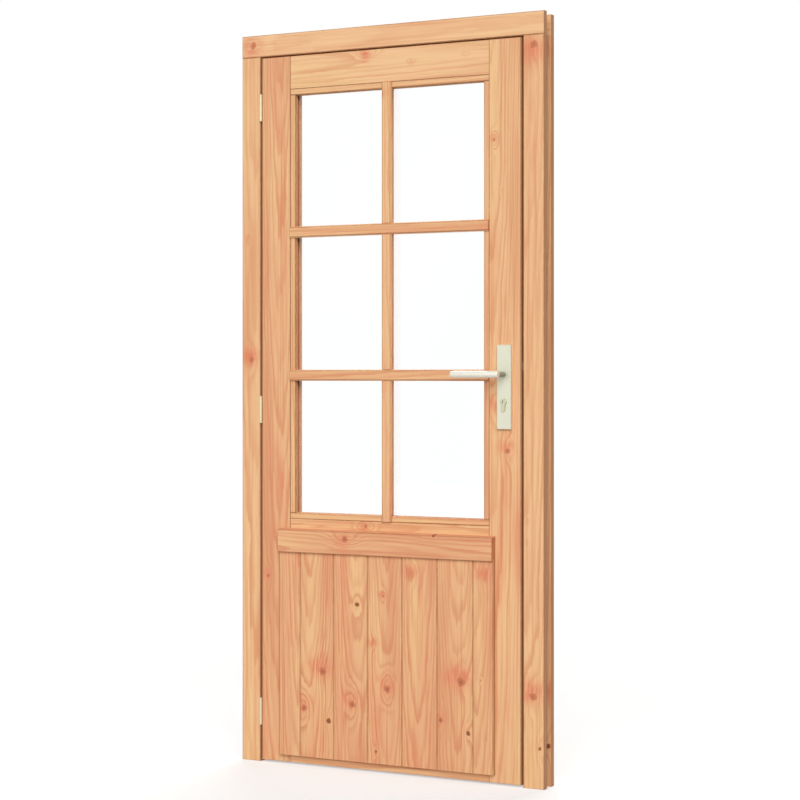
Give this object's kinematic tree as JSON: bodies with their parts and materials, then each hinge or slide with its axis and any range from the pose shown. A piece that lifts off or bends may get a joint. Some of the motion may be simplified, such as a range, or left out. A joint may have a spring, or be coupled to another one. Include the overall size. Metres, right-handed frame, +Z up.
{
  "type": "single door",
  "caption": "Outward-opening timber door in its rebated frame, glazed above with crossed glazing bars and boarded below, with lever handle, mortise lock and butt hinges.",
  "frame": {"origin": "foot of the frame, in the middle of its width and at mid-thickness of the leaf", "axes": "+X from the hinge side to the lock side, +Y inwards through the door, +Z up"},
  "size_m": [0.935, 0.157, 2.01],
  "materials": {
    "frame_timber": "oiled softwood, knotty",
    "board_timber": "oiled softwood boards, knotty",
    "glass": "clear float glass",
    "handle_metal": "satin anodised",
    "hinge_metal": "zinc plated",
    "lock_metal": "zinc plated",
    "screw_metal": "zinc plated",
    "cylinder_metal": "nickel plated",
    "spacer_metal": "mill finish",
    "setting_block": "moulded"
  },
  "bodies": {
    "frame": {"hinge_jamb": "frame_timber", "lock_jamb": "frame_timber", "frame_head": "frame_timber", "head_screws": "screw_metal", "top_hinge_frame_leaf": "hinge_metal", "middle_hinge_frame_leaf": "hinge_metal", "bottom_hinge_frame_leaf": "hinge_metal", "top_hinge_pin": "hinge_metal", "middle_hinge_pin": "hinge_metal", "bottom_hinge_pin": "hinge_metal", "frame_hinge_screws": "screw_metal", "strike_plate": "lock_metal", "strike_screws": "screw_metal"},
    "leaf": {"hinge_stile": "frame_timber", "lock_stile": "frame_timber", "top_rail": "frame_timber", "mid_rail": "frame_timber", "bottom_rail": "frame_timber", "outer_pane": "glass", "inner_pane": "glass", "glass_spacer": "spacer_metal", "setting_blocks": "setting_block", "top_bead": "frame_timber", "bottom_bead": "frame_timber", "hinge_side_bead": "frame_timber", "lock_side_bead": "frame_timber", "lower_crossbar": "frame_timber", "upper_crossbar": "frame_timber", "upright_bar": "frame_timber", "board_1": "board_timber", "board_2": "board_timber", "board_3": "board_timber", "board_4": "board_timber", "board_5": "board_timber", "board_6": "board_timber", "board_7": "board_timber", "weather_moulding": "frame_timber", "top_hinge_door_leaf": "hinge_metal", "middle_hinge_door_leaf": "hinge_metal", "bottom_hinge_door_leaf": "hinge_metal", "door_hinge_screws": "screw_metal", "lock_case": "lock_metal", "lock_cover": "lock_metal", "forend": "lock_metal", "forend_screws": "screw_metal", "cylinder_body": "cylinder_metal", "cylinder_screw": "screw_metal", "outer_plate": "handle_metal", "inner_plate": "handle_metal", "plate_screws": "screw_metal"},
    "handle": {"outer_lever": "handle_metal", "inner_lever": "handle_metal", "spindle": "lock_metal", "follower": "lock_metal"},
    "latch": {"latch_bolt": "lock_metal"},
    "deadbolt": {"dead_bolt": "lock_metal"},
    "cylinder": {"outer_plug": "cylinder_metal", "inner_plug": "cylinder_metal", "cylinder_cam": "lock_metal"}
  },
  "joints": [
    {"name": "leaf_swing", "type": "hinge", "parent": "frame", "child": "leaf", "pos_m": [-0.405, -0.021, 0], "axis": [0, 0, -1], "range_deg": [0, 170]},
    {"name": "handle_turn", "type": "hinge", "parent": "leaf", "child": "handle", "pos_m": [0.3545, 0, 1.071], "axis": [0, -1, 0], "range_deg": [0, 40], "stiffness_Nm_per_rad": 1.2, "springref_deg": -28.65},
    {"name": "latch_slide", "type": "slide", "parent": "leaf", "child": "latch", "axis": [-1, 0, 0], "range_m": [0, 0.0121]},
    {"name": "bolt_throw", "type": "slide", "parent": "leaf", "child": "deadbolt", "axis": [1, 0, 0], "range_m": [0, 0.02]},
    {"name": "cylinder_turn", "type": "hinge", "parent": "leaf", "child": "cylinder", "pos_m": [0.3545, 0, 0.999], "axis": [0, -1, 0], "range_deg": [0, 360]}
  ],
  "couplings": [
    {"joint": "latch_slide", "follows": "handle_turn", "m_per_rad": 0.017189},
    {"joint": "cylinder_turn", "follows": "bolt_throw", "rad_per_m": 314.16}
  ]
}
